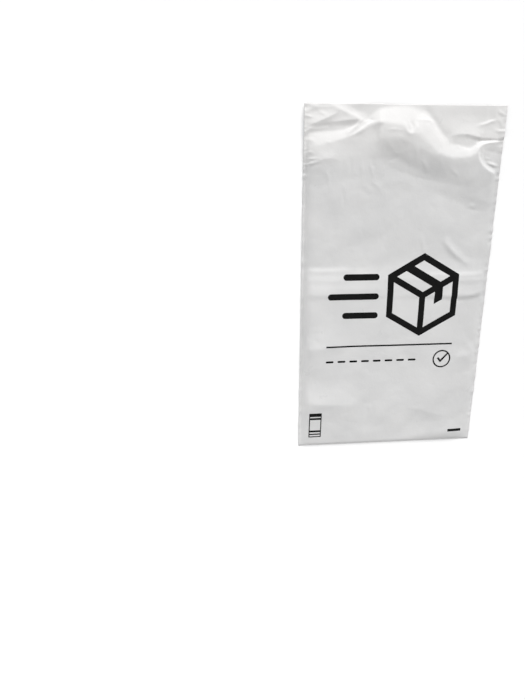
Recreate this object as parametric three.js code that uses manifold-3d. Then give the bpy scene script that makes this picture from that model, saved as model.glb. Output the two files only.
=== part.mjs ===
// A poly mailer bag, empty, lying print side up with its flap open.
// One strip of white film is folded at the bottom and welded along both sides, and the front ply runs on
// past the mouth as the flap, which carries a glue strip and its release liner underneath.
// Millimetres. +Z is up, +Y points to the flap, and the origin is under the middle of the bag.
import * as THREE from "three";
import { mergeVertices } from "three/addons/utils/BufferGeometryUtils.js";
import Module from "manifold-3d";

const wasm = await Module();
wasm.setup();

// Driving dimensions of the film
const bagWidth = 200;
const pocketLength = 300;
const flapLength = 55;
const filmThickness = 0.08;
const sideWeldWidth = 3;

// Glue strip and release liner under the flap
const linerWidth = 15;
const linerThickness = 0.06;
const linerFromFlapEdge = 15;
const glueThickness = 0.1;
const glueMargin = 2; // from the glue to the liner's edge, all round

// Print
const inkThickness = 0.03;
const parcelSide = 40;
const parcelStroke = 6.5;
const parcelX = 28;
const parcelOverFold = 171; // from the bottom fold up to the parcel's middle
const tapeWidth = 9.6;
const tapeDrop = 17;
const barLengths = [38, 54, 38];
const barPitch = 20;
const barGap = 9;
const ruleDrop = 13.5;
const ruleStroke = 1.7;
const dashDrop = 17;
const dashLength = 8.6;
const dashStroke = 2.2;
const dashGap = 4.4;
const ringRadius = 10;
const ringStroke = 1.5;
const cornerMargin = 11;
const panelWidth = 14;
const panelHeight = 30;
const panelStroke = 1.1;
const registerWidth = 16;
const registerHeight = 3.2;

// Modelling allowances
const seatGap = 0.02; // between faces that lie on each other
const cutterHeight = 50; // of the shapes that cut a flat piece out of a skin

// How the empty bag lies: heights of the front ply over the rear ply
const airHeight = 5.6;
const mouthAirHeight = 2.2; // more air where the mouth gapes
const mouthAirReach = 70;
const bottomRise = 75; // length over which the air swells from the bottom fold
const shoulderPower = 5; // how late the front ply drops to the side welds
const weldBead = 0.05; // what the melted seam adds to the two plies
const edgeLift = 0.3; // how far the flap's free sides rise, as a share of the height in the middle
const edgeLiftReach = 15;
const flapFootHeight = 4.4;
const flapEdgeHeight = 1.3;
const flapWaveHeight = 0.35;
const flapWaveLength = 90;
const slopeWidth = 10; // from the crest down to the flap
const creaseTaper = 12; // a crease fades out over this length past its ends

// Colours
const filmWhite = 0xdcdcda;
const glueClear = 0xd8d2c0;
const linerBlue = 0xc9d3da;
const inkBlack = 0x141414;

// The outline
const halfWidth = bagWidth / 2;
const weldLine = halfWidth - sideWeldWidth;
const yTop = (pocketLength + flapLength) / 2;
const yFold = -yTop;
const yMouth = yFold + pocketLength;
const weldTop = 2 * filmThickness + weldBead;

// Places on the lying bag. x is a share of the half width; y is a share of the flap over the mouth line, or of
// the pocket over the fold.
const onFlap = ([x, y]) => [x * halfWidth, yMouth + y * flapLength];
const onPocket = ([x, y]) => [x * halfWidth, yFold + y * pocketLength];

// Where the puffed front ply turns down to the flap
const crest = [
  [-1, 0.3],
  [-0.87, 0.31],
  [-0.75, 0.36],
  [-0.58, 0.47],
  [-0.44, 0.55],
  [-0.33, 0.65],
  [-0.26, 0.7],
  [-0.15, 0.67],
  [-0.04, 0.64],
  [0.03, 0.55],
  [0.08, 0.46],
  [0.15, 0.38],
  [0.27, 0.26],
  [0.38, 0.17],
  [0.51, 0.12],
  [0.63, 0.15],
  [0.72, 0.23],
  [0.76, 0.32],
  [0.86, 0.38],
  [1, 0.38],
].map(onFlap);

// Creases pressed into the film: where the ridge runs, its height, and how far it reaches towards the flap and
// towards the fold
const creases = [
  {
    ridge: [
      [-1, 0.565],
      [0, 0.57],
      [1, 0.575],
    ].map(onPocket),
    height: 0.7,
    towardsFlap: 30,
    towardsFold: 7,
  },
  {
    ridge: [
      [0.44, 0.77],
      [0.56, 0.73],
      [0.72, 0.68],
    ].map(onPocket),
    height: 0.9,
    towardsFlap: 9,
    towardsFold: 5,
  },
  {
    ridge: [
      [-0.72, 0.98],
      [-0.56, 0.84],
      [-0.4, 0.7],
    ].map(onFlap),
    height: 1.4,
    towardsFlap: 8,
    towardsFold: 5,
  },
  {
    ridge: [
      [0.45, 0.58],
      [0.75, 0.53],
      [1, 0.55],
    ].map(onFlap),
    height: 1.2,
    towardsFlap: 12,
    towardsFold: 5,
  },
];

const clamp01 = (t) => Math.min(1, Math.max(0, t));
const smooth = (t) => clamp01(t) ** 2 * (3 - 2 * clamp01(t));

// How far a point is from a path, and how far past the path's ends it lies.
function nearPath(path, x, y) {
  let distance = Infinity;
  let beyond = 0;
  for (let i = 0; i + 1 < path.length; i++) {
    const [ax, ay] = path[i];
    const [bx, by] = path[i + 1];
    const length = Math.hypot(bx - ax, by - ay);
    const along = ((x - ax) * (bx - ax) + (y - ay) * (by - ay)) / length;
    const held = Math.min(length, Math.max(0, along));
    const share = held / length;
    const here = Math.hypot(x - ax - share * (bx - ax), y - ay - share * (by - ay));
    if (here < distance) {
      distance = here;
      beyond = Math.abs(along - held);
    }
  }
  return { distance, beyond };
}

// The y of a path at x. The path's points go from left to right, and it runs on level past its ends.
function pathY(path, x) {
  const next = path.findIndex((point) => point[0] >= x);
  if (next === 0) return path[0][1];
  if (next < 0) return path[path.length - 1][1];
  const [ax, ay] = path[next - 1];
  const [bx, by] = path[next];
  return ay + ((by - ay) * (x - ax)) / (bx - ax);
}

function creaseHeight({ ridge, height, towardsFlap, towardsFold }, x, y) {
  const { distance, beyond } = nearPath(ridge, x, y);
  const reach = y > pathY(ridge, x) ? towardsFlap : towardsFold;
  return height * (1 - clamp01(distance / reach)) ** 2 * (1 - smooth(beyond / creaseTaper));
}

// The front ply over the pocket, as if it ran on level past the mouth.
function puffedHeight(x, y) {
  const lift = edgeLift * smooth((y - yMouth) / edgeLiftReach);
  const side = 1 - (1 - lift) * clamp01(Math.abs(x) / weldLine) ** shoulderPower;
  const end = 1 - (1 - clamp01((y - yFold) / bottomRise)) ** 2;
  const air = airHeight + mouthAirHeight * smooth((y - yMouth + mouthAirReach) / mouthAirReach);
  return weldTop + side * end * air;
}

// The flap, which sinks from the crest to its free edge.
function flapHeight(x, y) {
  const out = clamp01((y - yMouth) / flapLength);
  const middle = flapFootHeight + (flapEdgeHeight - flapFootHeight) * out;
  const drop = (middle - flapEdgeHeight) * clamp01(Math.abs(x) / halfWidth) ** 4;
  const wave = flapWaveHeight * Math.sin((2 * Math.PI * x) / flapWaveLength) * out;
  return middle - drop + wave;
}

// Height of the film's upper face.
function frontHeight(x, y) {
  const overMouth = y > yMouth;
  if (Math.abs(x) > weldLine && !overMouth) return weldTop;
  const overCrest = y > pathY(crest, x) ? nearPath(crest, x, y).distance : 0;
  const sunk = 1 - (1 - clamp01(overCrest / slopeWidth)) ** 1.5;
  const puffed = puffedHeight(x, y);
  const looseness = overMouth ? 1 : clamp01((weldLine - Math.abs(x)) / sideWeldWidth);
  const pressed = creases.reduce((sum, crease) => sum + creaseHeight(crease, x, y), 0);
  return puffed + (flapHeight(x, y) - puffed) * sunk + pressed * looseness;
}

// Grid of the film: columns stand on the welds, and rows on the fold, the mouth and the crest.
const columnStep = 6.5;
const pocketRowStep = 14;
const rowsUnderCrest = 4;
const rowsOnSlope = 3;
const rowsBeyondSlope = 4;

function evenly(from, to, step) {
  const count = Math.max(1, Math.round((to - from) / step));
  return Array.from({ length: count + 1 }, (_, i) => from + ((to - from) * i) / count);
}

const columns = [-halfWidth, ...evenly(-weldLine, weldLine, columnStep), halfWidth];
const halfFold = creases[0];
const halfFoldY = pathY(halfFold.ridge, 0);
const pocketRows = [
  yFold,
  ...evenly(yFold + filmThickness, halfFoldY - halfFold.towardsFold, pocketRowStep),
  ...evenly(halfFoldY, yMouth, pocketRowStep),
];
const mouthRow = pocketRows.length - 1;

// The y of every row at one column.
function rowsAt(x) {
  const crestY = pathY(crest, x);
  const slopeY = Math.min(crestY + slopeWidth, crestY + 0.8 * (yTop - crestY));
  const between = (from, to, count) => evenly(from, to, (to - from) / count).slice(1);
  return [
    ...pocketRows,
    ...between(yMouth, crestY, rowsUnderCrest),
    ...between(crestY, slopeY, rowsOnSlope),
    ...between(slopeY, yTop, rowsBeyondSlope),
  ];
}

// A closed solid over the grid, in layers that lie between height functions. filled says which cells of a layer
// are solid.
function layeredSolid(heights, filled = () => true) {
  const grid = columns.map((x) => rowsAt(x).map((y) => [x, y]));
  const across = grid.length;
  const along = grid[0].length;
  const has = (layer, i, j) => {
    const inside = i >= 0 && j >= 0 && i < across - 1 && j < along - 1;
    return inside && layer >= 0 && layer < heights.length - 1 && filled(layer, i, j);
  };
  const vertices = [];
  const numbers = new Map();
  const at = (level, i, j) => {
    const key = (level * across + i) * along + j;
    if (!numbers.has(key)) {
      const [x, y] = grid[i][j];
      numbers.set(key, numbers.size);
      vertices.push(x, y, heights[level](x, y));
    }
    return numbers.get(key);
  };
  const triangles = [];
  const quad = (a, b, c, d) => triangles.push(a, b, c, a, c, d);
  const wall = (layer, i1, j1, i2, j2) => {
    quad(at(layer, i1, j1), at(layer, i2, j2), at(layer + 1, i2, j2), at(layer + 1, i1, j1));
  };
  for (let layer = 0; layer + 1 < heights.length; layer++) {
    for (let i = 0; i + 1 < across; i++) {
      for (let j = 0; j + 1 < along; j++) {
        if (!has(layer, i, j)) continue;
        const corners = (level) => [at(level, i, j), at(level, i + 1, j), at(level, i + 1, j + 1), at(level, i, j + 1)];
        if (!has(layer + 1, i, j)) quad(...corners(layer + 1));
        if (!has(layer - 1, i, j)) {
          const [a, b, c, d] = corners(layer);
          quad(a, d, c, b);
        }
        if (!has(layer, i, j - 1)) wall(layer, i, j, i + 1, j);
        if (!has(layer, i, j + 1)) wall(layer, i + 1, j + 1, i, j + 1);
        if (!has(layer, i - 1, j)) wall(layer, i, j + 1, i, j);
        if (!has(layer, i + 1, j)) wall(layer, i + 1, j, i + 1, j + 1);
      }
    }
  }
  return new wasm.Manifold(
    new wasm.Mesh({
      numProp: 3,
      vertProperties: new Float32Array(vertices),
      triVerts: new Uint32Array(triangles),
    }),
  );
}

// A three.js geometry as a solid.
function solidOf(geometry) {
  const bare = geometry.clone();
  bare.deleteAttribute("normal");
  bare.deleteAttribute("uv");
  const merged = mergeVertices(bare, 1e-4);
  return new wasm.Manifold(
    new wasm.Mesh({
      numProp: 3,
      vertProperties: new Float32Array(merged.attributes.position.array),
      triVerts: new Uint32Array(merged.index.array),
    }),
  );
}

function boxSolid(low, high) {
  const size = high.map((v, i) => v - low[i]);
  const geometry = new THREE.BoxGeometry(...size);
  geometry.translate(...high.map((v, i) => (v + low[i]) / 2));
  return solidOf(geometry);
}

function meshOf(solid, name, material) {
  const { numProp, vertProperties, triVerts } = solid.getMesh();
  const positions = new Float32Array((vertProperties.length / numProp) * 3);
  for (let i = 0; i * numProp < vertProperties.length; i++) {
    positions.set(vertProperties.subarray(i * numProp, i * numProp + 3), i * 3);
  }
  const geometry = new THREE.BufferGeometry();
  geometry.setAttribute("position", new THREE.BufferAttribute(positions, 3));
  geometry.setIndex(new THREE.BufferAttribute(new Uint32Array(triVerts), 1));
  geometry.computeVertexNormals();
  const mesh = new THREE.Mesh(geometry, material);
  mesh.name = name;
  return mesh;
}

const film = new THREE.MeshStandardMaterial({ color: filmWhite, roughness: 0.35, metalness: 0 });
const glue = new THREE.MeshStandardMaterial({ color: glueClear, roughness: 0.5, metalness: 0 });
const liner = new THREE.MeshStandardMaterial({ color: linerBlue, roughness: 0.25, metalness: 0 });
const ink = new THREE.MeshStandardMaterial({ color: inkBlack, roughness: 0.45, metalness: 0 });

const bag = new THREE.Group();
bag.name = "poly_mailer_bag";

// The film, layer by layer: the rear ply, the pocket's room, and the front ply with the flap
const underFilm = (x, y) => frontHeight(x, y) - filmThickness;
const roomLayer = 1;
const frontLayer = 2;
const isFilm = (layer, i, j) => {
  if (layer === frontLayer) return true;
  if (j >= mouthRow) return false;
  const inPocket = i > 0 && i < columns.length - 2 && j > 0;
  return layer !== roomLayer || !inPocket;
};
const filmSolid = layeredSolid([() => 0, () => filmThickness, underFilm, frontHeight], isFilm);
bag.add(meshOf(filmSolid, "bag_film", film));

// Under the flap: the glue strip on the film, and the release liner on the glue
const linerTop = yTop - linerFromFlapEdge;
const linerLow = linerTop - linerWidth;

// A strip under the flap at a depth below the film. margin is how far it stays inside the liner's outline.
function stripUnderFlap(depth, thickness, margin) {
  const top = (x, y) => underFilm(x, y) - depth;
  const skin = layeredSolid([(x, y) => top(x, y) - thickness, top]);
  const half = halfWidth - margin;
  return skin.intersect(boxSolid([-half, linerLow + margin, 0], [half, linerTop - margin, cutterHeight]));
}

const glueStrip = stripUnderFlap(seatGap, glueThickness, glueMargin);
bag.add(meshOf(glueStrip, "glue_strip", glue));

const releaseLiner = stripUnderFlap(2 * seatGap + glueThickness, linerThickness, 0);
bag.add(meshOf(releaseLiner, "release_liner", liner));

// Print: every mark is a flat shape laid on the film's upper face
const inkLow = (x, y) => frontHeight(x, y) + seatGap;
const inkSkin = layeredSolid([inkLow, (x, y) => inkLow(x, y) + inkThickness]);

function cutter(shape, curveSegments) {
  return solidOf(new THREE.ExtrudeGeometry(shape, { depth: cutterHeight, bevelEnabled: false, curveSegments }));
}

function addInk(name, solid) {
  bag.add(meshOf(inkSkin.intersect(solid), name, ink));
}

const pointsOf = (list) => list.map(([x, y]) => new THREE.Vector2(x, y));

function shapeOf(outline, windows = []) {
  const shape = new THREE.Shape(pointsOf(outline));
  shape.holes = windows.map((window) => new THREE.Path(pointsOf(window)));
  return shape;
}

const rectangle = (left, low, right, high) => [
  [left, low],
  [right, low],
  [right, high],
  [left, high],
];

function roundBar(left, right, y, thickness) {
  const radius = thickness / 2;
  const shape = new THREE.Shape();
  shape.absarc(right - radius, y, radius, -Math.PI / 2, Math.PI / 2, false);
  shape.absarc(left + radius, y, radius, Math.PI / 2, 1.5 * Math.PI, false);
  return cutter(shape, 8);
}

// A parcel drawn from a corner: three faces, with a strip of tape over the top and down the right one
const isometricCos = Math.cos(Math.PI / 6);
const parcelReach = parcelSide * isometricCos;
const parcelY = yFold + parcelOverFold;

function parcelShape() {
  const steps = {
    right: [parcelReach, parcelSide / 2],
    left: [-parcelReach, parcelSide / 2],
    down: [0, -parcelSide],
  };
  const face = (first, second, corners) =>
    corners.map(([s, t]) => [
      parcelX + s * steps[first][0] + t * steps[second][0],
      parcelY + s * steps[first][1] + t * steps[second][1],
    ]);
  const near = parcelStroke / 2 / parcelReach;
  const far = 1 - near;
  const tapeFrom = 0.5 - tapeWidth / parcelSide / 2;
  const tapeTo = 0.5 + tapeWidth / parcelSide / 2;
  const tapeEnd = tapeDrop / parcelSide;
  const windows = [
    face("left", "down", rectangle(near, near, far, far)),
    face("right", "left", rectangle(near, near, tapeFrom, far)),
    face("right", "left", rectangle(tapeTo, near, far, far)),
    face("right", "down", [
      [near, near],
      [tapeFrom, near],
      [tapeFrom, tapeEnd],
      [tapeTo, tapeEnd],
      [tapeTo, near],
      [far, near],
      [far, far],
      [near, far],
    ]),
  ];
  const cornerRadius = parcelSide + parcelStroke / 2 / isometricCos;
  const outline = Array.from({ length: 6 }, (_, i) => {
    const turn = ((2 * i + 1) * Math.PI) / 6;
    return [parcelX + cornerRadius * Math.cos(turn), parcelY + cornerRadius * Math.sin(turn)];
  });
  return shapeOf(outline, windows);
}
addInk("ink_parcel", cutter(parcelShape(), 1));

// Speed bars behind the parcel
const printRight = parcelX + parcelReach + parcelStroke / 2;
const barsRight = parcelX - parcelReach - parcelStroke / 2 - barGap;
const printLeft = barsRight - Math.max(...barLengths);
barLengths.forEach((length, i) => {
  const y = parcelY + (1 - i) * barPitch;
  addInk(`ink_speed_bar_${i + 1}`, roundBar(barsRight - length, barsRight, y, parcelStroke));
});

// A thin rule under the parcel
const ruleY = parcelY - parcelSide - ruleDrop;
addInk("ink_rule", cutter(shapeOf(rectangle(printLeft, ruleY - ruleStroke / 2, printRight, ruleY + ruleStroke / 2)), 1));

// A ring at the rule's right end, with a tick that runs into it
const dashY = ruleY - dashDrop;
const ringX = printRight - ringRadius;

function disc(radius) {
  const shape = new THREE.Shape();
  shape.absarc(ringX, dashY, radius, 0, 2 * Math.PI, false);
  return cutter(shape, 24);
}

const tick = [
  [-0.53, 0.06],
  [-0.37, 0.2],
  [-0.13, -0.09],
  [0.62, 0.7],
  [0.74, 0.58],
  [-0.12, -0.41],
].map(([x, y]) => [ringX + x * ringRadius, dashY + y * ringRadius]);
const emptyRing = disc(ringRadius).subtract(disc(ringRadius - ringStroke));
addInk("ink_ring", emptyRing.add(cutter(shapeOf(tick), 1)));

// A row of dashes up to the ring
const dashRoom = ringX - ringRadius - dashGap - printLeft;
const dashCount = Math.floor(dashRoom / (dashLength + dashGap));
for (let i = 0; i < dashCount; i++) {
  const left = printLeft + i * (dashLength + dashGap);
  addInk(`ink_dash_${i + 1}`, roundBar(left, left + dashLength, dashY, dashStroke));
}

// A small barred panel in the left corner and a register mark in the right one
const panelLeft = -halfWidth + cornerMargin;
const panelLow = yFold + cornerMargin;
const panelWindows = [
  [0.04, 0.1],
  [0.15, 0.21],
  [0.29, 0.73],
  [0.81, 0.86],
].map(([from, to]) => {
  const right = panelLeft + panelWidth - panelStroke;
  return rectangle(panelLeft + panelStroke, panelLow + from * panelHeight, right, panelLow + to * panelHeight);
});
const panelOutline = rectangle(panelLeft, panelLow, panelLeft + panelWidth, panelLow + panelHeight);
addInk("ink_panel", cutter(shapeOf(panelOutline, panelWindows), 1));

const registerRight = halfWidth - cornerMargin;
const registerOutline = rectangle(registerRight - registerWidth, panelLow, registerRight, panelLow + registerHeight);
addInk("ink_register_mark", cutter(shapeOf(registerOutline), 1));

export default bag;
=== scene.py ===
"""The looks of a poly mailer bag: white film that lies print side up with its flap open.

The film is remade on a fine grid over the frame's film, with the creases that a handled bag has. The ink,
the glue strip and the release liner are laid on it. Lengths are millimetres until a mesh is made. The frame
has +Z up, +Y towards the flap, and its origin under the middle of the bag.
"""
import math

import bmesh
import bpy
import numpy as np
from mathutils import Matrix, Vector


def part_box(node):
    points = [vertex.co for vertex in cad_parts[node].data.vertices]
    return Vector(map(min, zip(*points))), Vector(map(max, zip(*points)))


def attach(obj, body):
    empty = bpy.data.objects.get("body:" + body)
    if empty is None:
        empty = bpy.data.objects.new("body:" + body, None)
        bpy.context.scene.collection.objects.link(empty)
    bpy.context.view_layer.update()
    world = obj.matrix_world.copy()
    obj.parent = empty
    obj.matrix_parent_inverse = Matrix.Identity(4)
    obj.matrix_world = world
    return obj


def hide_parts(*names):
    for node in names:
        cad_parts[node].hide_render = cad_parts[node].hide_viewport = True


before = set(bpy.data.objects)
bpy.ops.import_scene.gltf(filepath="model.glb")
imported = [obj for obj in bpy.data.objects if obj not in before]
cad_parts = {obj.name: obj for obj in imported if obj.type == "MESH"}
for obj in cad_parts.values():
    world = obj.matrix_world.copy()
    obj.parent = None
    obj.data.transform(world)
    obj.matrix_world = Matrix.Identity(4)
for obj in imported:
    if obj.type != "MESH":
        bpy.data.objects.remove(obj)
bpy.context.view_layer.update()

MM = 0.001

# The film's outline, from the frame
film_low, film_high = (np.array(corner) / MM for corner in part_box("bag_film"))
HALF_WIDTH = film_high[0]
Y_FOLD = film_low[1]
Y_TOP = film_high[1]

# The flap, the film and the welds, as in the solids
FLAP_LENGTH = 55.0
Y_MOUTH = Y_TOP - FLAP_LENGTH
FILM_THICKNESS = 0.08
WELD_WIDTH = 3.0
WELD_LINE = HALF_WIDTH - WELD_WIDTH
PLY_GAP = 0.05
WELD_TOP = 2 * FILM_THICKNESS + PLY_GAP

# How the puffed front ply lies, from the bottom fold to the mouth
AIR_HEIGHT = 4.2
MOUTH_AIR_HEIGHT = 0.4
MOUTH_AIR_REACH = 100.0
BOTTOM_RISE = 150.0
FOLD_ROUNDING = 3.0
FOLD_ROUNDING_SHARE = 0.2
LEFT_SHOULDER_POWER = 30
RIGHT_SHOULDER_POWER = 10
EDGE_LIFT = 0.3
EDGE_LIFT_REACH = 15.0

# How the flap lies
FLAP_FOOT_HEIGHT = 3.2
FLAP_EDGE_HEIGHT = 1.0
FLAP_DROP_POWER = 4
FLAP_WAVE_HEIGHT = -0.5
FLAP_WAVE_LENGTH = 90.0
FLAP_CLEARANCE = 0.45

# The share of a slope over which it eases in, and over which it eases out
EASED_SHARE = 0.2

# How far from the bottom fold, and from a weld, the film comes free
FOLD_EASE = 12.0
WELD_EASE = 6.0

# The crest, where the puffed front ply turns down to the flap: its place in shares of the half width and of
# the flap, then the width of the slope
CREST_POINTS = [
    (-1.0, 0.24, 18),
    (-0.87, 0.28, 17),
    (-0.75, 0.34, 13),
    (-0.58, 0.44, 9),
    (-0.44, 0.545, 8),
    (-0.34, 0.64, 8),
    (-0.28, 0.69, 12),
    (-0.24, 0.66, 19),
    (-0.13, 0.63, 22),
    (-0.05, 0.61, 23),
    (-0.01, 0.53, 27),
    (0.03, 0.46, 31),
    (0.08, 0.48, 31),
    (0.13, 0.42, 29),
    (0.22, 0.29, 24),
    (0.30, 0.19, 19),
    (0.40, 0.12, 16),
    (0.51, 0.09, 15),
    (0.63, 0.11, 14),
    (0.70, 0.165, 9),
    (0.75, 0.33, 4),
    (0.86, 0.385, 2.5),
    (1.0, 0.385, 2.5),
]

# Creases: points of the ridge as (x, y, height), with x from the middle of the bag and y from the mouth
# line, then the reach on the left and on the right of the ridge, seen along its way. A ridge below 0 is a
# groove.
CREASES = [
    # the star of creases at the left end of the crest
    ([(-76, 55, 0.4), (-68, 51, 1.2), (-60, 47.5, 1.3), (-52, 44, 1.2), (-46, 41, 0.9),
      (-40, 37.5, 0.2)], 6, 14),
    ([(-90, 35, 0.1), (-78, 38.5, 0.6), (-62, 40, 0.9), (-50, 40.8, 1.1), (-43, 41, 0.3)], 8, 4.5),
    ([(-98, 35, 0.3), (-91, 37, 1.1), (-84, 40, 1.5), (-76, 43, 1.5), (-68, 47, 0.6)], 10, 6),
    ([(-99, 30, 0.2), (-90, 32, 0.4), (-78, 34, 0.2)], 3, 3),
    ([(-99, 49, 0.1), (-90, 51, 0.35), (-74, 52, 0.2)], 3, 3),
    ([(-56, 60, 0.6), (-46, 58, 1.1), (-34, 59, 0.9), (-28, 62, 0.2)], 2, 12),
    ([(-27, 38, 0.6), (-27.5, 46, 0.9), (-26, 56, 0.8)], 12, 3),
    ([(-27, 38, 0.3), (-27.5, 28, 0.3), (-27, 18, 0.25), (-31, 4, 0.2), (-33, -6, 0.0)], 4, 9),
    ([(-58, 31, 0.4), (-50, 34.5, 0.6), (-42, 38.5, 0.6), (-38, 40, 0.3)], 3, 5),
    ([(-58, 28, 0.2), (-52, 33, 0.9), (-47, 38.5, 1.0), (-44, 41, 0.3)], 1.6, 3),
    ([(-52, 27.5, 0.2), (-44, 32.5, 0.8), (-38, 37, 0.9), (-33, 39, 0.2)], 1.6, 3),
    ([(-39, 41.5, 0.0), (-36, 40.5, -0.7), (-33, 41, 0.0)], 1.6, 2),
    ([(-101, 45, 0.3), (-96, 43.5, 0.6), (-90, 43, 0.0)], 1.6, 2.2),
    ([(-96, 54, 0.0), (-90, 52.5, 0.5), (-82, 53, 0.0)], 1.6, 2.2),
    ([(-88, 50, 0.0), (-82, 46, 0.4), (-77, 44.5, 0.0)], 2, 3),
    ([(-99, 30, 0.0), (-94, 33, 0.6), (-90, 34, 0.0)], 1.6, 2.2),
    ([(-79, 22, 0.0), (-76.5, 20.5, 0.3), (-74, 21, 0.0)], 1.8, 2),
    # the bulge over the crest, its foot and its crumple
    ([(13, 56, -0.3), (19, 51, -0.6), (24, 44, -0.6), (30, 36, -0.5), (40, 26, -0.3)], 6, 8),
    ([(9, 41, 0.1), (15, 41.2, 0.3), (22, 40.8, 0.5), (27, 39.5, 0.1)], 1.8, 2.5),
    ([(2, 40, 0.0), (4, 37, -0.8), (4.5, 34, -0.7), (3, 31, 0.0)], 2.5, 2),
    ([(-4, 36.5, 0.2), (-2.5, 32, 0.6), (0, 29, 0.7), (4, 28, 0.6), (8, 29, 0.2)], 2.5, 6),
    ([(8.5, 38, 0.1), (8, 34, 0.6), (6, 30, 0.3)], 2, 2),
    ([(-22, 31, 0.0), (-14, 32.3, 0.3), (-7, 31.5, 0.2)], 2, 3),
    ([(23, 36.5, 0.0), (25, 38, 0.35), (28, 38.5, 0.0)], 1.8, 1.8),
    # folds in the flap's right end
    ([(42, 25.5, 0.4), (50, 28.5, 1.5), (62, 28.5, 1.8), (70, 26.8, 1.4), (78, 25.5, 0.1)], 18, 8.5),
    ([(64, 27, 0.2), (72, 25.6, 0.9), (84, 24.8, 0.8), (98, 24.8, 0.4)], 22, 2.2),
    ([(70, 20, 0.1), (76, 21.3, 0.5), (84, 22, 0.4), (98, 22, 0.2)], 1.6, 3),
    ([(74, 20, -0.1), (82, 21, -0.6), (90, 21.2, -0.8), (99, 21.2, -0.8)], 3, 18),
    ([(70, 36, 0.1), (76, 36.5, 0.3), (82, 37.5, 0.3), (87, 40.5, 0.3), (91, 41, 0.1)], 2.2, 5),
    ([(90, 44, 0.1), (94, 41, 0.5), (97, 36, 0.3)], 4, 3),
    ([(72, 37, 0.1), (80, 38.5, 0.6), (84, 40.5, 0.7), (88, 41.2, 0.2)], 1.6, 2.2),
    ([(90, 33, 0.0), (94, 31.5, 0.6), (99, 32, 0.4)], 1.6, 3),
    ([(91, 52, 0.0), (94, 48, 0.6), (99, 46.5, 0.4)], 1.6, 3),
    ([(45, 25, 0.0), (45.5, 22, 0.35), (44.5, 18, 0.0)], 2.5, 1.8),
    ([(75.5, 33, 0.0), (76, 29, 0.3), (75, 26, 0.0)], 2, 2),
    ([(82, 57, -0.3), (82.5, 48, -0.35), (83, 42, -0.1)], 3, 4),
    ([(88.5, 57, 0.25), (88.5, 48, 0.3), (88.5, 43, 0.1)], 3, 3),
    # the dent over the right weld
    ([(72, 19, 0.8), (71.5, 12, 1.7), (74, 5, 2.2), (79, -1, 2.4), (87, -6.5, 2.3), (99, -9, 1.8)], 5, 50),
    ([(83, 2.6, 0.3), (90, 0.5, 1.0), (98, -1.6, 1.0)], 2.4, 1.6),
    ([(76.5, 17, 0.1), (77.5, 13, 0.5), (76.8, 9, 0.5), (80, 4, 0.2)], 2.2, 1.8),
    ([(80, 8, 0.0), (84, 5.5, 0.35), (90, 6.5, 0.0)], 1.8, 2.5),
    ([(78, 14, -0.4), (88, 13, -1.0), (99, 11, -1.1)], 13, 14),
    # the mouth's left corner and the weld beside it
    ([(-101, -1, 0.7), (-93, 1, 0.8), (-84, 3.5, 0.2)], 2.8, 2.2),
    ([(-99, 11, 0.2), (-95, 11.8, 0.7), (-91, 11, 0.1)], 1.6, 2.5),
    ([(-99, 5.5, 0.2), (-93, 5.2, 0.7), (-87, 6, 0.1)], 1.6, 2),
    ([(-98, 23, 0.3), (-93, 22.5, 0.5), (-88, 20, 0.1)], 3.5, 5),
    ([(-92, 4, 0.4), (-80, 6, 1.5), (-70, 6, 1.0), (-62, 2, 0.1)], 16, 26),
    # soft folds under the crest
    ([(-78, -2, 0.0), (-76, -12, 0.5), (-73, -24, 0.0)], 3, 4),
    ([(-62, -22, 0.0), (-60, -31, -0.35), (-58, -40, 0.0)], 3, 3),
    ([(-55, 8, 0.0), (-54, 0, -0.3), (-54, -8, 0.0)], 2, 2.5),
    ([(-44, 6, 0.0), (-42, -3, 0.35), (-43, -12, 0.0)], 2.5, 3),
    ([(-36, 5, 0.0), (-33, -4, 0.4), (-31, -12, 0.0)], 2.5, 2.5),
    ([(-34, -14, 0.0), (-26, -19, 0.4), (-20, -27, 0.0)], 5, 4),
    ([(-44, -18, 0.0), (-38, -20, 0.3), (-30, -26, 0.0)], 5, 4),
    ([(60, -24, 0.0), (74, -31, 0.4), (92, -36, 0.3)], 14, 9),
    ([(-26, 4, 0.0), (-10, -4, -0.8), (12, -11, -1.0), (34, -16, -0.8), (56, -19, -0.5),
      (70, -22, 0.0)], 17, 60),
    ([(8, -14, 0.0), (30, -24, -0.7), (58, -35, -0.9), (88, -46, -0.2)], 24, 50),
    # wrinkles in the hollow under the crest
    ([(-21, 24, 0.0), (-17, 18, 0.25), (-12, 13, 0.0)], 3, 5),
    ([(2, 22, 0.0), (1, 14, 0.25), (-4, 6, 0.0)], 5, 3),
    ([(8, 18, 0.0), (11, 11, 0.5), (9, 2, 0.0)], 3, 5),
    ([(16, 6, 0.0), (21, -1, 0.45), (23, -9, 0.0)], 4, 3),
    ([(33, 6, 0.0), (37, 1, 0.3), (36, -6, 0.0)], 5, 3),
    ([(44, -2, 0.0), (50, -6, 0.3), (57, -12, 0.0)], 3, 3),
]

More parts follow.
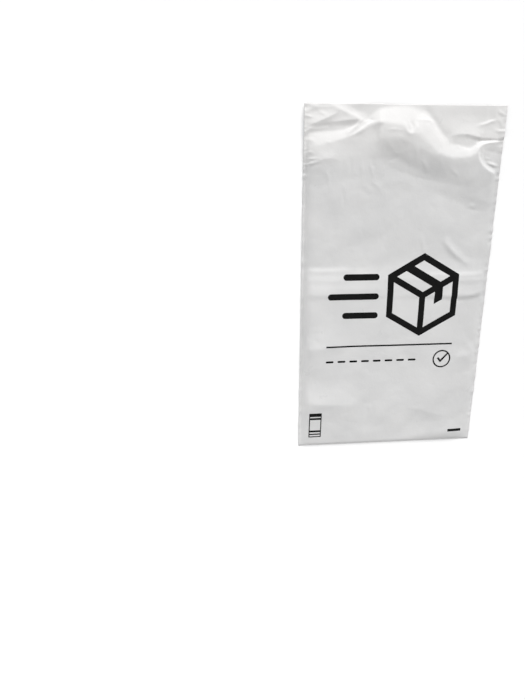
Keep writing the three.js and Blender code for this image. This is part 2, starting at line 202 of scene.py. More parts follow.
# Creases of the pocket, with y from the bottom fold
POCKET_CREASES = [
    # the ridge where the bag was folded in half, and the line beside it
    ([(-98, 173, 0.3), (-60, 172, 0.6), (0, 171, 0.2), (40, 171, 0.8), (70, 169.5, 1.3),
      (84, 170.5, 1.3), (99, 173.5, 1.1)], 30, 4.5),
    ([(-98, 189, 0.4), (-70, 187, 0.3), (0, 188, 0.1), (50, 187.5, 0.5), (75, 186, 0.6),
      (97, 187, 0.4)], 11, 4.5),
    ([(-100, 198, 0.3), (-80, 197.5, 0.6), (-55, 198, 0.4), (-40, 198, 0.0)], 3, 5),
    ([(24, 192, 0.0), (45, 192.5, 0.5), (70, 191.5, 0.6), (94, 192.5, 0.4)], 3, 4),
    # short folds
    ([(45, 230, 0.1), (51, 222, 1.1), (60, 213, 1.25), (70, 206, 0.9), (78, 202, 0.1)], 7, 5),
    ([(22, 233, 0.1), (25, 222, 0.4), (29, 209, 0.1)], 4, 3),
    ([(68, 262, 0.0), (73, 261, 0.9), (79, 260, 0.0)], 2, 2),
    ([(-52, 220, 0.0), (-48, 219, 0.25), (-45, 220, 0.0)], 1.5, 1.5),
    ([(16, 44, 0.0), (34, 42, 0.5), (48, 36, 0.6), (60, 33, 0.5), (70, 32, 0.0)], 14, 10),
    ([(62, 104, 0.0), (76, 102, 0.8), (90, 104, 0.6), (98, 104, 0.1)], 14, 20),
    ([(80, 79, 0.0), (86, 80, 0.3), (92, 80, 0.0)], 2, 2),
    # soft swells
    ([(-100, 115, 2.0), (-85, 115, 2.0), (-70, 117, 1.4), (-45, 120, 0.0)], 24, 40),
    ([(-100, 54, 1.8), (-80, 52, 2.3), (-55, 50, 1.8), (-30, 50, 0.0)], 30, 60),
    ([(15, 6, 0.1), (45, 6, 1.1), (75, 6, 1.1), (97, 6, 0.2)], 20, 9),
    ([(-20, 74, 0.1), (-10, 76, 0.3), (0, 78, 0.1)], 14, 8),
    ([(75, 122, 0.1), (86, 115, 0.5), (92, 107, 0.4)], 6, 8),
]
# How far a crease runs out past its ends, how round its ridge is, and how its flanks curve
CREASE_TAPER = 8.0
CREASE_ROUNDING = 0.45
CREASE_PROFILE_POWER = 1.7

# Rolls: lines where the puffed film begins to fall on the right, as (x, y, height of the fall), and how far
# the fall reaches
MOUTH_ROLL = [
    (-50, 26, 0.0),
    (-31, 25, 0.3),
    (-26, 25, 2.2),
    (-18, 26, 2.9),
    (-8, 26.5, 3.1),
    (0, 25.5, 3.1),
    (10, 19.5, 2.8),
    (20, 15, 2.6),
    (30, 10.5, 2.5),
    (42, 7, 2.1),
    (55, 4.5, 1.6),
    (66, 3, 0.8),
    (74, -2, 0.2),
]
MOUTH_ROLL_REACH = 22
HALF_FOLD_ROLL = [
    (99, 182, 2.5),
    (70, 182, 2.7),
    (40, 181, 2.5),
    (0, 177, 1.9),
    (-60, 174, 2.6),
    (-99, 174, 2.8),
]
HALF_FOLD_ROLL_REACH = 30

# A path's corners are cut this many times, by this share of each stretch
CORNER_CUTS = 2
CORNER_CUT = 0.25
# A path's value at a place beside it: how quickly the stretches further off stop counting
FAR_POWER = 5
FAR_OFFSET = 0.5

# Fine unevenness of the film: the width and the height of each size of cockle, and how the lattice lies
COCKLES = ((46.0, 0.34), (19.0, 0.26), (8.0, 0.095))
LATTICE_TURN = 0.6
LATTICE_MARGIN = 4
RANDOM_SEED = 11

# Short faint creases scattered over the film, a little closer together towards the flap
FINE_CREASE_COUNT = 70
FINE_CREASE_SPREAD = 0.92
FINE_CREASE_FROM_FOLD = 15
FINE_CREASE_FROM_TOP = 10
FINE_CREASE_CROWDING = 0.8
FINE_CREASE_HALF_LENGTH = (3, 9)
FINE_CREASE_BEND = 0.5
FINE_CREASE_HEIGHT = (0.07, 0.26)
FINE_CREASE_REACH = (1.5, 4)

# Puckers along the side welds
WELD_RIPPLE_HEIGHT = 1.0
WELD_RIPPLE_STEP = 3.0
WELD_RIPPLE_REACH = 6.5

# The grid of the film
COLUMN_STEP = 1.15
POCKET_ROW_STEP = 1.8
FLAP_ROW_STEP = 0.85
REAR_COLUMN_STEP = 30.0
FINE_ROWS_BELOW_MOUTH = 20.0
FINE_ROWS_FROM = Y_MOUTH - FINE_ROWS_BELOW_MOUTH

# Pieces laid on the film
INK_GAP = 0.03
INK_THICKNESS = 0.03
GLUE_THICKNESS = 0.1
LINER_THICKNESS = 0.06
SEAT_GAP = 0.03

# In a mark's mesh, how near two vertices count as one, and the least upward share of a top face's normal
MERGE_DISTANCE = 0.001
UPWARD = 0.5


def clamp01(value):
    return np.clip(value, 0.0, 1.0)


def smooth(value):
    """Rises from 0 to 1 with level ends."""
    held = clamp01(value)
    return held * held * (3 - 2 * held)


def smoothest(value):
    """Rises from 0 to 1 with ends that are level and don't bend."""
    held = clamp01(value)
    return held**3 * (held * (6 * held - 15) + 10)


def eased(value):
    """Rises from 0 to 1 with an even slope between two eased ends."""
    held = clamp01(value)
    reached = EASED_SHARE / 2 / (1 - EASED_SHARE)
    low = reached * (clamp01(held / EASED_SHARE)) ** 2
    high = 1 - reached * (clamp01((1 - held) / EASED_SHARE)) ** 2
    even = (held - EASED_SHARE / 2) / (1 - EASED_SHARE)
    return np.where(held < EASED_SHARE, low, np.where(held > 1 - EASED_SHARE, high, even))


def softened(points):
    """The points of a path with its corners cut."""
    points = np.asarray(points, float)
    for _ in range(CORNER_CUTS):
        near = (1 - CORNER_CUT) * points[:-1] + CORNER_CUT * points[1:]
        far = CORNER_CUT * points[:-1] + (1 - CORNER_CUT) * points[1:]
        inner = np.stack([near, far], 1).reshape(-1, points.shape[1])
        points = np.concatenate([points[:1], inner, points[-1:]])
    return points


def near_path(path, x, y):
    """How places lie to a path of (x, y, value) points: the distance, above 0 on the left of the path, how
    far past its ends they are, and its value nearby."""
    last = len(path) - 2
    best = np.full(np.shape(x), np.inf)
    signed = np.zeros(np.shape(x))
    beyond = np.zeros(np.shape(x))
    weights = np.zeros(np.shape(x))
    weighted = np.zeros(np.shape(x))
    for number, (a, b) in enumerate(zip(path[:-1], path[1:])):
        way = b[:2] - a[:2]
        length = math.hypot(*way)
        along = ((x - a[0]) * way[0] + (y - a[1]) * way[1]) / length
        held = np.clip(along, 0, length)
        distance = np.hypot(x - a[0] - held / length * way[0], y - a[1] - held / length * way[1])
        nearer = distance < best
        side = np.where(way[0] * (y - a[1]) - way[1] * (x - a[0]) >= 0, 1.0, -1.0)
        best = np.where(nearer, distance, best)
        signed = np.where(nearer, side * distance, signed)
        past_end = np.where(along < held, number == 0, number == last) * np.abs(along - held)
        beyond = np.where(nearer, past_end, beyond)
        weight = length / (distance + FAR_OFFSET) ** FAR_POWER
        weights += weight
        weighted += weight * (a[2] + (b[2] - a[2]) * held / length)
    return signed, beyond, weighted / weights


def crease_height(x, y, path, left_reach, right_reach):
    """Height of one crease: rounded on top, and sinking to nothing at its reach."""
    signed, beyond, height = near_path(path, x, y)
    rounded = np.sqrt(signed**2 + CREASE_ROUNDING**2) - CREASE_ROUNDING
    reach = np.where(signed > 0, left_reach, right_reach)
    profile = (1 - clamp01(rounded / reach)) ** CREASE_PROFILE_POWER
    return height * profile * (1 - smooth(beyond / CREASE_TAPER))


def roll_height(x, y, path, reach):
    """Height that a roll adds: all of it on the left of its path, and none past its reach on the right."""
    signed, beyond, height = near_path(path, x, y)
    return height * eased(1 + signed / reach) * (1 - smooth(beyond / CREASE_TAPER))


def lattice_noise(x, y, step, seed):
    """Smooth noise between -1 and 1 on a square lattice that lies askew."""
    rng = np.random.default_rng(seed)
    size = LATTICE_MARGIN + int(math.ceil(2 * math.hypot(HALF_WIDTH, Y_TOP) / step))
    lattice = rng.uniform(-1, 1, (size, size))
    u = (x * math.cos(LATTICE_TURN) - y * math.sin(LATTICE_TURN)) / step + size / 2
    v = (x * math.sin(LATTICE_TURN) + y * math.cos(LATTICE_TURN)) / step + size / 2
    i = np.clip(np.floor(u).astype(int), 0, size - 2)
    j = np.clip(np.floor(v).astype(int), 0, size - 2)
    s = smoothest(u - i)
    t = smoothest(v - j)
    low = lattice[i, j] * (1 - s) + lattice[i + 1, j] * s
    high = lattice[i, j + 1] * (1 - s) + lattice[i + 1, j + 1] * s
    return low * (1 - t) + high * t


def fine_creases():
    """Short faint creases, scattered over the film."""
    rng = np.random.default_rng(RANDOM_SEED)
    room = Y_TOP - Y_FOLD - FINE_CREASE_FROM_FOLD - FINE_CREASE_FROM_TOP
    creases = []
    for _ in range(FINE_CREASE_COUNT):
        x = rng.uniform(-FINE_CREASE_SPREAD, FINE_CREASE_SPREAD) * HALF_WIDTH
        y = Y_FOLD + FINE_CREASE_FROM_FOLD + room * rng.uniform(0, 1) ** FINE_CREASE_CROWDING
        turn = rng.uniform(0, math.pi)
        half = rng.uniform(*FINE_CREASE_HALF_LENGTH)
        bend = rng.uniform(-FINE_CREASE_BEND, FINE_CREASE_BEND)
        height = rng.choice((-1, 1)) * rng.uniform(*FINE_CREASE_HEIGHT)
        start = (x - half * math.cos(turn - bend), y - half * math.sin(turn - bend), 0.0)
        end = (x + half * math.cos(turn + bend), y + half * math.sin(turn + bend), 0.0)
        left_reach = rng.uniform(*FINE_CREASE_REACH)
        right_reach = rng.uniform(*FINE_CREASE_REACH)
        creases.append((softened([start, (x, y, height), end]), left_reach, right_reach))
    return creases


def placed(points, base_y):
    """A path's points, softened, with y counted from a line across the bag."""
    return softened(points) + (0, base_y, 0)


CREST = softened(CREST_POINTS) * (HALF_WIDTH, FLAP_LENGTH, 1) + (0, Y_MOUTH, 0)
ALL_CREASES = [(placed(points, Y_MOUTH), *reaches) for points, *reaches in CREASES]
ALL_CREASES += [(placed(points, Y_FOLD), *reaches) for points, *reaches in POCKET_CREASES]
ALL_CREASES += fine_creases()
ROLLS = (
    (placed(MOUTH_ROLL, Y_MOUTH), MOUTH_ROLL_REACH),
    (placed(HALF_FOLD_ROLL, Y_FOLD), HALF_FOLD_ROLL_REACH),
)


def puffed_height(x, y):
    """Height of the front ply over the air in the pocket, before its creases."""
    lift = EDGE_LIFT * smooth((y - Y_MOUTH) / EDGE_LIFT_REACH)
    shoulder_power = np.where(x < 0, LEFT_SHOULDER_POWER, RIGHT_SHOULDER_POWER)
    side = 1 - (1 - lift) * clamp01(np.abs(x) / WELD_LINE) ** shoulder_power
    from_fold = y - Y_FOLD
    end = FOLD_ROUNDING_SHARE * (1 - (1 - clamp01(from_fold / FOLD_ROUNDING)) ** 2)
    end = end + (1 - FOLD_ROUNDING_SHARE) * (1 - (1 - clamp01(from_fold / BOTTOM_RISE)) ** 2)
    air = AIR_HEIGHT + MOUTH_AIR_HEIGHT * smooth((y - Y_MOUTH + MOUTH_AIR_REACH) / MOUTH_AIR_REACH)
    rolls = sum(roll_height(x, y, *roll) for roll in ROLLS)
    return WELD_TOP + side * end * (air + rolls)


def flap_height(x, y):
    """Height of the flap, before its creases."""
    out = clamp01((y - Y_MOUTH) / FLAP_LENGTH)
    middle = FLAP_FOOT_HEIGHT + (FLAP_EDGE_HEIGHT - FLAP_FOOT_HEIGHT) * out
    drop = (middle - FLAP_EDGE_HEIGHT) * clamp01(np.abs(x) / HALF_WIDTH) ** FLAP_DROP_POWER
    wave = FLAP_WAVE_HEIGHT * np.sin(2 * math.pi * x / FLAP_WAVE_LENGTH) * out
    return middle - drop + wave


def past_fold(y):
    """0 at the bottom fold, 1 where it no longer holds the film."""
    return clamp01((y - Y_FOLD) / FOLD_EASE)


def looseness(x, y):
    """0 where the film is welded or folded, 1 where it is free."""
    beside_weld = np.where(y > Y_MOUTH, 1.0, clamp01((WELD_LINE - np.abs(x)) / WELD_EASE))
    return beside_weld * past_fold(y)


def weld_ripple(x, y):
    """The pucker along the side welds."""
    near_edge = 1 - clamp01((HALF_WIDTH - np.abs(x)) / WELD_RIPPLE_REACH)
    pucker = 0.5 + 0.5 * lattice_noise(np.sign(x) * HALF_WIDTH, y, WELD_RIPPLE_STEP, RANDOM_SEED)
    return WELD_RIPPLE_HEIGHT * pucker * near_edge * past_fold(y)


def front_height(x, y):
    """Height of the film's upper face."""
    crest_y = np.interp(x, CREST[:, 0], CREST[:, 1])
    to_crest, _, slope_width = near_path(CREST, x, y)
    over_crest = np.where(y > crest_y, np.abs(to_crest), 0)
    sunk = eased(over_crest / slope_width)
    puffed = puffed_height(x, y)
    height = puffed + (flap_height(x, y) - puffed) * sunk
    loose = sum(crease_height(x, y, *crease) for crease in ALL_CREASES)
    for number, (step, share) in enumerate(COCKLES):
        loose = loose + share * lattice_noise(x, y, step, RANDOM_SEED + number)
    height = height + loose * looseness(x, y) + weld_ripple(x, y)
    return np.where(y > Y_MOUTH, np.maximum(height, FLAP_CLEARANCE), height)


def evenly(start, stop, step):
    """Evenly spaced values from start to stop, about a step apart."""
    return np.linspace(start, stop, max(1, round((stop - start) / step)) + 1)


def lines_between(lines, low, high):
    """A grid's lines between two values, with the two values as the ends."""
    return np.concatenate([[low], lines[(lines > low) & (lines < high)], [high]])


# The film's upper face on its grid
FILM_XS = evenly(-HALF_WIDTH, HALF_WIDTH, COLUMN_STEP)
FILM_YS = np.concatenate(
    [evenly(Y_FOLD, FINE_ROWS_FROM, POCKET_ROW_STEP)[:-1], evenly(FINE_ROWS_FROM, Y_TOP, FLAP_ROW_STEP)]
)
FILM_HEIGHTS = front_height(*np.meshgrid(FILM_XS, FILM_YS, indexing="ij"))


def film_height_at(x, y):
    """Height of the film's mesh, between the points of its grid."""
    i = np.clip(np.searchsorted(FILM_XS, x, "right") - 1, 0, len(FILM_XS) - 2)
    j = np.clip(np.searchsorted(FILM_YS, y, "right") - 1, 0, len(FILM_YS) - 2)
    s = (x - FILM_XS[i]) / (FILM_XS[i + 1] - FILM_XS[i])
    t = (y - FILM_YS[j]) / (FILM_YS[j + 1] - FILM_YS[j])
    low = FILM_HEIGHTS[i, j] * (1 - s) + FILM_HEIGHTS[i + 1, j] * s
    high = FILM_HEIGHTS[i, j + 1] * (1 - s) + FILM_HEIGHTS[i + 1, j + 1] * s
    return low * (1 - t) + high * t


def object_of(name, mesh, material):
    piece = bpy.data.objects.new(name, mesh)
    bpy.context.scene.collection.objects.link(piece)
    mesh.materials.append(material)
    mesh.polygons.foreach_set("use_smooth", [True] * len(mesh.polygons))
    return piece


def shell_parts(xs, ys, low, high, first):
    """Vertices in metres and faces of a closed thin solid over a grid, between two layers of heights."""
    x, y = np.meshgrid(xs, ys, indexing="ij")
    layers = [np.stack([x, y, heights], -1).reshape(-1, 3) for heights in (low, high)]
    number = first + np.arange(x.size).reshape(x.shape)
    top = number + x.size
    corners = (number[:-1, :-1], number[1:, :-1], number[1:, 1:], number[:-1, 1:])
    faces = [np.stack(corners[::-1], -1).reshape(-1, 4), np.stack(corners, -1).reshape(-1, 4) + x.size]
    for low_rim, high_rim in (
        (number[:, 0], top[:, 0]),
        (number[-1, :], top[-1, :]),
        (number[::-1, -1], top[::-1, -1]),
        (number[0, ::-1], top[0, ::-1]),
    ):
        faces.append(np.stack([low_rim[:-1], low_rim[1:], high_rim[1:], high_rim[:-1]], -1))
    return np.concatenate(layers) * MM, np.concatenate(faces)


def shell_piece(name, material, shells):
    """One piece of several closed shells, each given by its grid lines and its two layers of heights."""
    vertices, faces = [], []
    for shell in shells:
        points, quads = shell_parts(*shell, first=sum(map(len, vertices)))
        vertices.append(points)
        faces.append(quads)
    mesh = bpy.data.meshes.new(name)
    mesh.from_pydata(np.concatenate(vertices).tolist(), [], np.concatenate(faces).tolist())
    return object_of(name, mesh, material)


def ride_as(piece, node):
    """Hangs a piece under the root body, where it stands in for its node, which is hidden."""
    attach(piece, "root")
    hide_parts(node)


def film_piece(material):
    """The creased front ply with the flap, and the flat rear ply, which puckers with it in the welds."""
    flat_until = HALF_WIDTH - WELD_RIPPLE_REACH
    flat_xs = evenly(-flat_until, flat_until, REAR_COLUMN_STEP)
    rear_xs = np.concatenate([FILM_XS[FILM_XS < -flat_until], flat_xs, FILM_XS[FILM_XS > flat_until]])
    rear_ys = lines_between(FILM_YS, Y_FOLD, Y_MOUTH)
    rear_low = weld_ripple(*np.meshgrid(rear_xs, rear_ys, indexing="ij"))
    front = (FILM_XS, FILM_YS, FILM_HEIGHTS - FILM_THICKNESS, FILM_HEIGHTS)
    rear = (rear_xs, rear_ys, rear_low, rear_low + FILM_THICKNESS)
    piece = shell_piece("bag_film_creased", material, [front, rear])
    ride_as(piece, "bag_film")


def under_flap_piece(node, material, depth, thickness):
    """A strip at a depth under the flap's film, as wide and long as its node."""
    low, high = (np.array(corner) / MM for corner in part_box(node))
    xs = lines_between(FILM_XS, low[0], high[0])
    ys = lines_between(FILM_YS, low[1], high[1])
    top = film_height_at(*np.meshgrid(xs, ys, indexing="ij")) - FILM_THICKNESS - depth
    piece = shell_piece(node + "_laid", material, [(xs, ys, top - thickness, top)])
    ride_as(piece, node)


def cut_along(bm, lines, axis):
    """Cuts a flat mesh along a grid's lines across an axis."""
    normal = Vector((1, 0, 0)) if axis == 0 else Vector((0, 1, 0))
    low = min(vertex.co[axis] for vertex in bm.verts)
    high = max(vertex.co[axis] for vertex in bm.verts)
    for value in lines_between(lines, low, high)[1:-1]:
        geometry = bm.verts[:] + bm.edges[:] + bm.faces[:]
        bmesh.ops.bisect_plane(bm, geom=geometry, plane_co=normal * value, plane_no=normal)


def ink_piece(node, material):
    """The node's mark laid on the creased film: its outline from the frame, cut along the film's grid."""
    bm = bmesh.new()
    bm.from_mesh(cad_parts[node].data)
    bmesh.ops.scale(bm, vec=Vector((1, 1, 1)) / MM, verts=bm.verts)
    bmesh.ops.remove_doubles(bm, verts=bm.verts, dist=MERGE_DISTANCE)
    bm.normal_update()
    other_faces = [face for face in bm.faces if face.normal.z < UPWARD]
    bmesh.ops.delete(bm, geom=other_faces, context="FACES")
    for vertex in bm.verts:
        vertex.co.z = 0
    cut_along(bm, FILM_XS, 0)
    cut_along(bm, FILM_YS, 1)
    places = np.array([vertex.co[:] for vertex in bm.verts])
    heights = film_height_at(places[:, 0], places[:, 1]) + INK_GAP
    for vertex, height in zip(bm.verts, heights):
        vertex.co.z = height
    made = bmesh.ops.extrude_face_region(bm, geom=bm.faces[:])["geom"]
    for vertex in (item for item in made if isinstance(item, bmesh.types.BMVert)):
        vertex.co.z += INK_THICKNESS
    bmesh.ops.recalc_face_normals(bm, faces=bm.faces)
    bmesh.ops.scale(bm, vec=Vector((MM, MM, MM)), verts=bm.verts)
    mesh = bpy.data.meshes.new(node + "_laid")
    bm.to_mesh(mesh)
    bm.free()
    ride_as(object_of(node + "_laid", mesh, material), node)


class Nodes:
    """A material's node tree, with short calls for what the materials below need."""

    def __init__(self, name):
        self.material = bpy.data.materials.new(name)
        self.material.use_nodes = True
        self.tree = self.material.node_tree
        self.shader = self.tree.nodes["Principled BSDF"]
        self.place = self.add("ShaderNodeTexCoord").outputs["Object"]

    def add(self, kind, **settings):
        """A new node, with inputs or settings by name."""
        node = self.tree.nodes.new(kind)
        for key, value in settings.items():
            if key in node.inputs:
                node.inputs[key].default_value = value
            else:
                setattr(node, key, value)
        return node

    def link(self, source, target):
        self.tree.links.new(source, target)

    def noise(self, scale, detail=3.0, roughness=0.5, stretch=(1, 1, 1)):
        """Noise in the frame's own place, finer along an axis that is stretched more."""
        mapping = self.add("ShaderNodeMapping", Scale=stretch)
        texture = self.add("ShaderNodeTexNoise", Scale=scale, Detail=detail, Roughness=roughness)
        self.link(self.place, mapping.inputs["Vector"])
        self.link(mapping.outputs["Vector"], texture.inputs["Vector"])
        return texture.outputs["Fac"]

    def ramp(self, value, low, high, from_low=0.3, from_high=0.7):
        """Maps a value's range to another, and holds it there."""
        node = self.add("ShaderNodeMapRange")
        node.inputs["From Min"].default_value = from_low
        node.inputs["From Max"].default_value = from_high
        node.inputs["To Min"].default_value = low
        node.inputs["To Max"].default_value = high
        self.link(value, node.inputs["Value"])
        return node.outputs["Result"]

    def product(self, first, second):
        node = self.add("ShaderNodeMath", operation="MULTIPLY")
        self.link(first, node.inputs[0])
        self.link(second, node.inputs[1])
        return node.outputs["Value"]

    def mix(self, factor, first, second):
        """A colour between two, by a factor."""
        node = self.add("ShaderNodeMix", data_type="RGBA")
        for socket, value in (("Factor_Float", factor), ("A_Color", first), ("B_Color", second)):
            target = next(item for item in node.inputs if item.identifier == socket)
            if isinstance(value, tuple):
                target.default_value = value
            else:
                self.link(value, target)
        return next(item for item in node.outputs if item.identifier == "Result_Color")

    def bump(self, height, distance, strength=1.0, before=None):
        """A normal raised by a height, on top of the one before."""
        node = self.add("ShaderNodeBump", Strength=strength, Distance=distance)
        self.link(height, node.inputs["Height"])
        if before is not None:
            self.link(before, node.inputs["Normal"])
        return node.outputs["Normal"]


def grey(level, warmth=0.0):
    return (level + warmth, level, level - warmth, 1.0)


# Colours: the film's patches, the flap's paler tone, which is partly painted light showing through the
# single ply, the specks in the film, and what is laid on it
FILM_DARK = grey(0.71)
FILM_LIGHT = grey(0.77, 0.003)
FLAP_TONE_WITH_PAINTED_LIGHT = grey(0.822, 0.008)
SPECK_GREY = grey(0.45)
INK_DARK = grey(0.003)
INK_LIGHT = grey(0.008)
GLUE_DARK = grey(0.6, 0.05)
GLUE_LIGHT = grey(0.7, 0.04)
LINER_DARK = (0.55, 0.62, 0.68, 1)
LINER_LIGHT = (0.62, 0.69, 0.74, 1)
FLOOR_COLOUR = grey(0.8)
WHITE = grey(1.0)
# Where the film's colour turns along the bag into the flap's paler one, which is partly painted light
FLAP_COLOUR_FROM = Y_MOUTH - 5
FLAP_COLOUR_TO = Y_MOUTH + 25
FILM_IOR = 1.52
INK_SPECULAR = 0.08


def film_material():
    """Softly glossy white polyethylene, with cloudy patches, gel specks and flow lines along the bag."""
    nodes = Nodes("white_film")
    shader = nodes.shader
    cloud = nodes.ramp(nodes.noise(26, detail=4), 0, 1)
    base = nodes.mix(cloud, FILM_DARK, FILM_LIGHT)
    place = nodes.add("ShaderNodeSeparateXYZ")
    nodes.link(nodes.place, place.inputs["Vector"])
    # The flap's paler, warmer colour is partly its own tone and partly painted light showing through the
    # single ply
    turn = (FLAP_COLOUR_FROM * MM, FLAP_COLOUR_TO * MM)
    flap_tone_and_painted_light = nodes.ramp(place.outputs["Y"], 0, 1, *turn)
    base = nodes.mix(flap_tone_and_painted_light, base, FLAP_TONE_WITH_PAINTED_LIGHT)
    specks = nodes.add("ShaderNodeTexVoronoi", Scale=210.0)
    nodes.link(nodes.place, specks.inputs["Vector"])
    speck = nodes.ramp(specks.outputs["Distance"], 0.35, 0, from_low=0.03, from_high=0.07)
    sparse = nodes.ramp(nodes.noise(60, detail=1), 0, 1, from_low=0.56, from_high=0.62)
    base = nodes.mix(nodes.product(speck, sparse), base, SPECK_GREY)
    nodes.link(base, shader.inputs["Base Color"])
    nodes.link(nodes.ramp(nodes.noise(40, detail=5), 0.27, 0.38), shader.inputs["Roughness"])
    shader.inputs["IOR"].default_value = FILM_IOR
    cockles = nodes.noise(90, detail=5, roughness=0.6)
    flow_lines = nodes.noise(1, detail=3, stretch=(700, 30, 700))
    grain = nodes.noise(700, detail=2)
    normal = nodes.bump(cockles, distance=0.0006, strength=0.5)
    normal = nodes.bump(flow_lines, distance=0.00003, strength=0.08, before=normal)
    normal = nodes.bump(grain, distance=0.00002, strength=0.5, before=normal)
    nodes.link(normal, shader.inputs["Normal"])
    return nodes.material


def ink_material():
    """Black ink: less glossy than the film, and thin in places."""
    nodes = Nodes("black_ink")
    shader = nodes.shader
    thin = nodes.ramp(nodes.noise(160, detail=6, roughness=0.65), 0, 1, from_low=0.35, from_high=0.75)
    nodes.link(nodes.mix(thin, INK_DARK, INK_LIGHT), shader.inputs["Base Color"])
    nodes.link(nodes.ramp(nodes.noise(300, detail=3), 0.5, 0.62), shader.inputs["Roughness"])
    shader.inputs["Specular IOR Level"].default_value = INK_SPECULAR
    grain = nodes.noise(800, detail=2)
    nodes.link(nodes.bump(grain, distance=0.00002, strength=0.5), shader.inputs["Normal"])
    return nodes.material


def glue_material():
    """Clear tacky glue, yellowed a little, with streaks from its coating."""
    nodes = Nodes("clear_glue")
    shader = nodes.shader
    streak = nodes.noise(1, detail=4, stretch=(60, 900, 900))
    base = nodes.mix(nodes.ramp(streak, 0, 1), GLUE_DARK, GLUE_LIGHT)
    nodes.link(base, shader.inputs["Base Color"])
    nodes.link(nodes.ramp(streak, 0.25, 0.4), shader.inputs["Roughness"])
    nodes.link(nodes.bump(streak, distance=0.00004, strength=0.7), shader.inputs["Normal"])
    return nodes.material


def liner_material():
    """Smooth bluish release film."""
    nodes = Nodes("release_film")
    shader = nodes.shader
    cloud = nodes.noise(45, detail=4)
    base = nodes.mix(nodes.ramp(cloud, 0, 1), LINER_DARK, LINER_LIGHT)
    nodes.link(base, shader.inputs["Base Color"])
    nodes.link(nodes.ramp(cloud, 0.18, 0.28), shader.inputs["Roughness"])
    flow_lines = nodes.noise(1, detail=3, stretch=(30, 500, 500))
    nodes.link(nodes.bump(flow_lines, distance=0.00004, strength=0.5), shader.inputs["Normal"])
    return nodes.material


# The stage, in metres: how strongly the floor glows for the camera near the bag and far from it, and the
# strength of the surround
FLOOR_HALF_SIZE = 6.0
FLOOR_DEPTH = 0.00005
FLOOR_ROUGHNESS = 0.9
FLOOR_GLOW = 0.33
FLOOR_GLOW_FAR = 1.0
FLOOR_GLOW_REACH = (0.6, 2.5)
SURROUND = 0.15
# A low softbox beyond the flap, a small high one for the film's gloss, and soft ones round the other sides:
# place, aim, size, watts, and whether glossy surfaces mirror it
SOFTBOXES = [
    ((2.0, 5.5, 2.0), (0.0, 0.0, 0.0), (3.6, 2.0), 500.0, False),
    ((0.3, 0.75, 1.35), (0.0, 0.1, 0.0), (0.6, 0.45), 0.7, True),
    ((0.6, -0.8, 1.5), (0.0, -0.1, 0.0), (0.9, 0.9), 1.7, True),
    ((-0.1, -0.6, 0.5), (-0.05, -0.2, 0.0), (0.8, 0.4), 1.05, False),
    ((-1.6, -0.3, 0.8), (0.0, -0.1, 0.0), (0.8, 1.2), 13.5, False),
]


def camera_rays(tree):
    """1 where a ray comes from the camera, also by a mirror or through glass."""
    path = tree.nodes.new("ShaderNodeLightPath")
    value = path.outputs["Is Camera Ray"]
    for name in ("Is Glossy Ray", "Is Transmission Ray"):
        node = tree.nodes.new("ShaderNodeMath")
        node.operation = "MAXIMUM"
        tree.links.new(value, node.inputs[0])
        tree.links.new(path.outputs[name], node.inputs[1])
        value = node.outputs["Value"]
    return value


def floor_piece():
    """A pale floor that the camera sees as white, with the bag's shadow on it."""
    half = FLOOR_HALF_SIZE
    mesh = bpy.data.meshes.new("floor")
    corners = [(-half, -half, 0), (half, -half, 0), (half, half, 0), (-half, half, 0)]
    mesh.from_pydata(corners, [], [(0, 1, 2, 3)])
    nodes = Nodes("floor")
    shader = nodes.shader
    shader.inputs["Base Color"].default_value = FLOOR_COLOUR
    shader.inputs["Roughness"].default_value = FLOOR_ROUGHNESS
    shader.inputs["Emission Color"].default_value = WHITE
    distance = nodes.add("ShaderNodeVectorMath", operation="LENGTH")
    nodes.link(nodes.place, distance.inputs[0])
    glow = nodes.ramp(distance.outputs["Value"], FLOOR_GLOW, FLOOR_GLOW_FAR, *FLOOR_GLOW_REACH)
    nodes.link(nodes.product(glow, camera_rays(nodes.tree)), shader.inputs["Emission Strength"])
    floor = object_of("floor", mesh, nodes.material)
    floor.location.z = -FLOOR_DEPTH


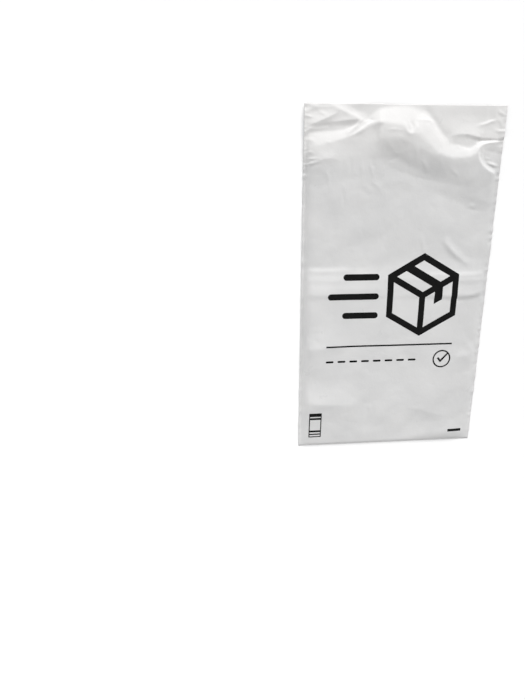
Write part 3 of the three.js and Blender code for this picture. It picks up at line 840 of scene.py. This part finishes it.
def softbox(number, place, aim, size, watts, mirrored):
    """An area lamp at a place, turned to its aim."""
    light = bpy.data.lights.new(f"softbox_{number}", "AREA")
    light.shape = "RECTANGLE"
    light.size, light.size_y = size
    light.energy = watts
    lamp = bpy.data.objects.new(light.name, light)
    lamp.location = place
    lamp.rotation_euler = (Vector(aim) - Vector(place)).to_track_quat("-Z", "Y").to_euler()
    lamp.visible_glossy = mirrored
    bpy.context.scene.collection.objects.link(lamp)


def surround():
    """An even pale surround, white where the camera looks past the floor."""
    world = bpy.data.worlds.new("surround")
    bpy.context.scene.world = world
    world.use_nodes = True
    tree = world.node_tree
    strength = tree.nodes.new("ShaderNodeMapRange")
    strength.inputs["To Min"].default_value = SURROUND
    strength.inputs["To Max"].default_value = 1.0
    tree.links.new(camera_rays(tree), strength.inputs["Value"])
    tree.links.new(strength.outputs["Result"], tree.nodes["Background"].inputs["Strength"])
    tree.nodes["Background"].inputs["Color"].default_value = WHITE


# The camera, where the photograph was taken from: its place, its turn in degrees and its lens in millimetres
CAMERA_PLACE = (-185.1, 86.9, 513.1)
CAMERA_TURN = (-16.21, -5.07, -0.25)
CAMERA_LENS = 25.86
CAMERA_CLIP_START = 0.01


def camera():
    data = bpy.data.cameras.new("camera")
    data.lens = CAMERA_LENS
    data.clip_start = CAMERA_CLIP_START
    eye = bpy.data.objects.new("camera", data)
    eye.location = Vector(CAMERA_PLACE) * MM
    eye.rotation_euler = [math.radians(angle) for angle in CAMERA_TURN]
    bpy.context.scene.collection.objects.link(eye)
    bpy.context.scene.camera = eye


def main():
    camera()
    film_piece(film_material())
    under_flap_piece("glue_strip", glue_material(), SEAT_GAP, GLUE_THICKNESS)
    liner_depth = 2 * SEAT_GAP + GLUE_THICKNESS
    under_flap_piece("release_liner", liner_material(), liner_depth, LINER_THICKNESS)
    ink = ink_material()
    for node in sorted(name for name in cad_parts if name.startswith("ink_")):
        ink_piece(node, ink)
    floor_piece()
    surround()
    for number, values in enumerate(SOFTBOXES):
        softbox(number, *values)
    bpy.context.scene.view_settings.view_transform = "Standard"


main()
